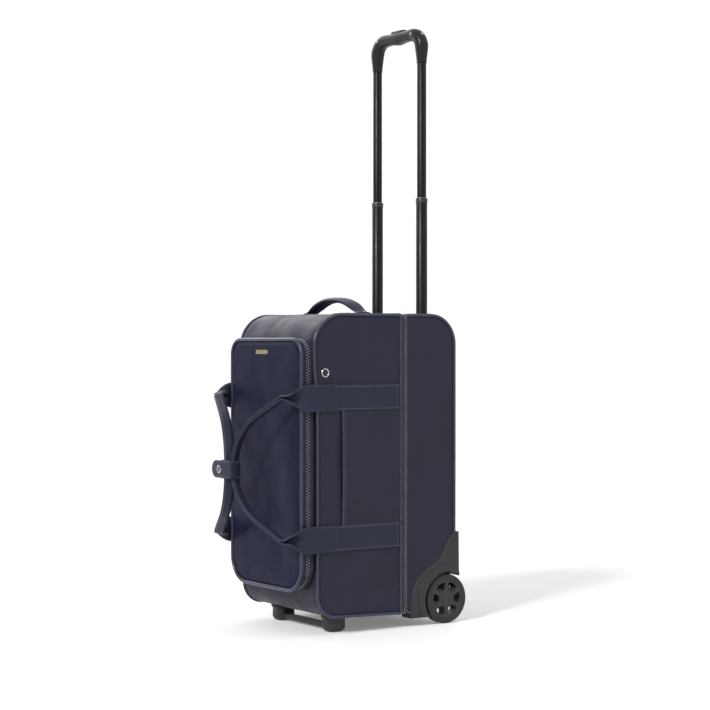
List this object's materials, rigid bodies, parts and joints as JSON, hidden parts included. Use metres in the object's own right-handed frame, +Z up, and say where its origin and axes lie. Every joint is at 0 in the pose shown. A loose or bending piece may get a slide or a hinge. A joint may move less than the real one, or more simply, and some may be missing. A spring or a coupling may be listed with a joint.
{
  "type": "softside upright suitcase",
  "caption": "Softside upright carry-on case with front pocket, snapped haul handles, zip-open body, two-stage telescopic handle, front foot and two rear wheels.",
  "frame": {"origin": "centre of the case's footprint box on the ground", "axes": "+Z up along the telescopic handle, -Y towards the front pocket, +Y towards the wheels, +X to the right seen from the front"},
  "size_m": [0.2416, 0.414, 1.028],
  "materials": {
    "shell": "smooth navy coated leatherette, satin",
    "piping": "navy leatherette piping, satin",
    "zip_chain": "woven tape with navy coil teeth",
    "strap": "navy leatherette strap with stitched edges",
    "board": "black honeycomb board",
    "lining": "grey twill lining over plastic sheet",
    "steel": "zinc plated",
    "moulded_plastic": "fine-grain black polypropylene",
    "tube_paint": "gloss black anodised aluminium tube",
    "grip_plastic": "black soft-touch grip",
    "tyre": "dark grey polyurethane",
    "wheel_plastic": "dark grey moulded nylon",
    "nickel": "polished nickel",
    "gold": "pale gold plated"
  },
  "bodies": {
    "rear_section": {"rear_gusset": "shell", "rear_side_panels": "shell", "rear_piping": "piping", "main_zip_chain_rear": "zip_chain", "hinge_strip_rear": "shell", "back_board": "board", "tube_bracket": "board", "bracket_screws": "steel", "tube_cover": "lining", "handle_bezel": "moulded_plastic", "outer_tubes": "tube_paint", "wheel_housing_left": "moulded_plastic", "wheel_housing_right": "moulded_plastic", "wheel_axles": "steel", "housing_screws": "steel"},
    "front_section": {"front_gusset": "shell", "front_side_panels": "shell", "front_piping": "piping", "main_zip_chain_front": "zip_chain", "zip_edge_piping": "piping", "hinge_strip_front": "shell", "pocket_gusset": "shell", "pocket_panel": "shell", "pocket_piping": "piping", "pocket_zip_chain": "zip_chain", "name_plate": "gold", "eyelets": "nickel", "slip_pockets": "shell", "side_straps_upper": "strap", "side_straps_lower": "strap", "haul_handle_left": "strap", "haul_handle_right": "strap", "handle_wrap": "strap", "snap_stud": "nickel", "carry_handle": "strap", "carry_handle_rivets": "nickel", "base_board": "board", "front_foot": "moulded_plastic", "foot_screws": "steel"},
    "wrap_flap": {"wrap_flap": "strap", "snap_cap": "nickel"},
    "middle_stage": {"middle_tubes": "tube_paint", "middle_collars": "moulded_plastic"},
    "upper_stage": {"upper_tubes": "tube_paint", "grip": "grip_plastic", "grip_screws": "steel"},
    "button": {"release_button": "grip_plastic", "release_linkage": "steel"},
    "lock_pin_left": {"lock_pin_left": "steel"},
    "lock_pin_right": {"lock_pin_right": "steel"},
    "wheel_left": {"tyre_left": "tyre", "wheel_hub_left": "wheel_plastic"},
    "wheel_right": {"tyre_right": "tyre", "wheel_hub_right": "wheel_plastic"},
    "main_zip_slider": {"main_zip_slider": "nickel"},
    "main_zip_pull": {"main_zip_pull": "nickel"},
    "second_zip_slider": {"second_zip_slider": "nickel"},
    "second_zip_pull": {"second_zip_pull": "nickel"},
    "pocket_zip_slider": {"pocket_zip_slider": "nickel"},
    "pocket_zip_pull": {"pocket_zip_pull": "nickel"}
  },
  "joints": [
    {"name": "main_opening", "type": "hinge", "parent": "rear_section", "child": "front_section", "pos_m": [-0.117, 0.078, 0.272], "axis": [0, 0, -1], "range_deg": [0, 100]},
    {"name": "middle_slide", "type": "slide", "parent": "rear_section", "child": "middle_stage", "axis": [0, 0, -1], "range_m": [0, 0.184]},
    {"name": "upper_slide", "type": "slide", "parent": "middle_stage", "child": "upper_stage", "axis": [0, 0, -1], "range_m": [0, 0.228]},
    {"name": "button_press", "type": "slide", "parent": "upper_stage", "child": "button", "axis": [0, 0, -1], "range_m": [0, 0.003], "stiffness_N_per_m": 800, "springref_m": -0.003},
    {"name": "lock_pin_left_slide", "type": "slide", "parent": "upper_stage", "child": "lock_pin_left", "axis": [-1, 0, 0], "range_m": [0, 0.0024]},
    {"name": "lock_pin_right_slide", "type": "slide", "parent": "upper_stage", "child": "lock_pin_right", "axis": [1, 0, 0], "range_m": [0, 0.0024]},
    {"name": "wheel_left_spin", "type": "hinge", "parent": "rear_section", "child": "wheel_left", "pos_m": [-0.1075, 0.165, 0.042], "axis": [1, 0, 0], "continuous": true},
    {"name": "wheel_right_spin", "type": "hinge", "parent": "rear_section", "child": "wheel_right", "pos_m": [0.1075, 0.165, 0.042], "axis": [1, 0, 0], "continuous": true},
    {"name": "wrap_flap_hinge", "type": "hinge", "parent": "front_section", "child": "wrap_flap", "pos_m": [0.016, -0.2035, 0.271], "axis": [0, 0, 1], "range_deg": [0, 110]},
    {"name": "main_zip_slide", "type": "slide", "parent": "front_section", "child": "main_zip_slider", "axis": [1, 0, 0], "range_m": [0, 0.15]},
    {"name": "main_pull_hinge", "type": "hinge", "parent": "main_zip_slider", "child": "main_zip_pull", "pos_m": [-0.058, 0.078, 0.5322], "axis": [0, -1, 0], "range_deg": [0, 150]},
    {"name": "second_zip_slide", "type": "slide", "parent": "front_section", "child": "second_zip_slider", "axis": [-1, 0, 0], "range_m": [0, 0.015]},
    {"name": "second_pull_hinge", "type": "hinge", "parent": "second_zip_slider", "child": "second_zip_pull", "pos_m": [-0.076, 0.078, 0.5322], "axis": [0, 1, 0], "range_deg": [0, 150]},
    {"name": "pocket_zip_slide", "type": "slide", "parent": "front_section", "child": "pocket_zip_slider", "axis": [0, 0, -1], "range_m": [0, 0.13]},
    {"name": "pocket_pull_hinge", "type": "hinge", "parent": "pocket_zip_slider", "child": "pocket_zip_pull", "pos_m": [-0.1182, -0.114, 0.342], "axis": [0, 1, 0], "range_deg": [0, 150]}
  ],
  "couplings": [
    {"joint": "lock_pin_left_slide", "follows": "button_press", "ratio": 0.8},
    {"joint": "lock_pin_right_slide", "follows": "button_press", "ratio": 0.8}
  ]
}
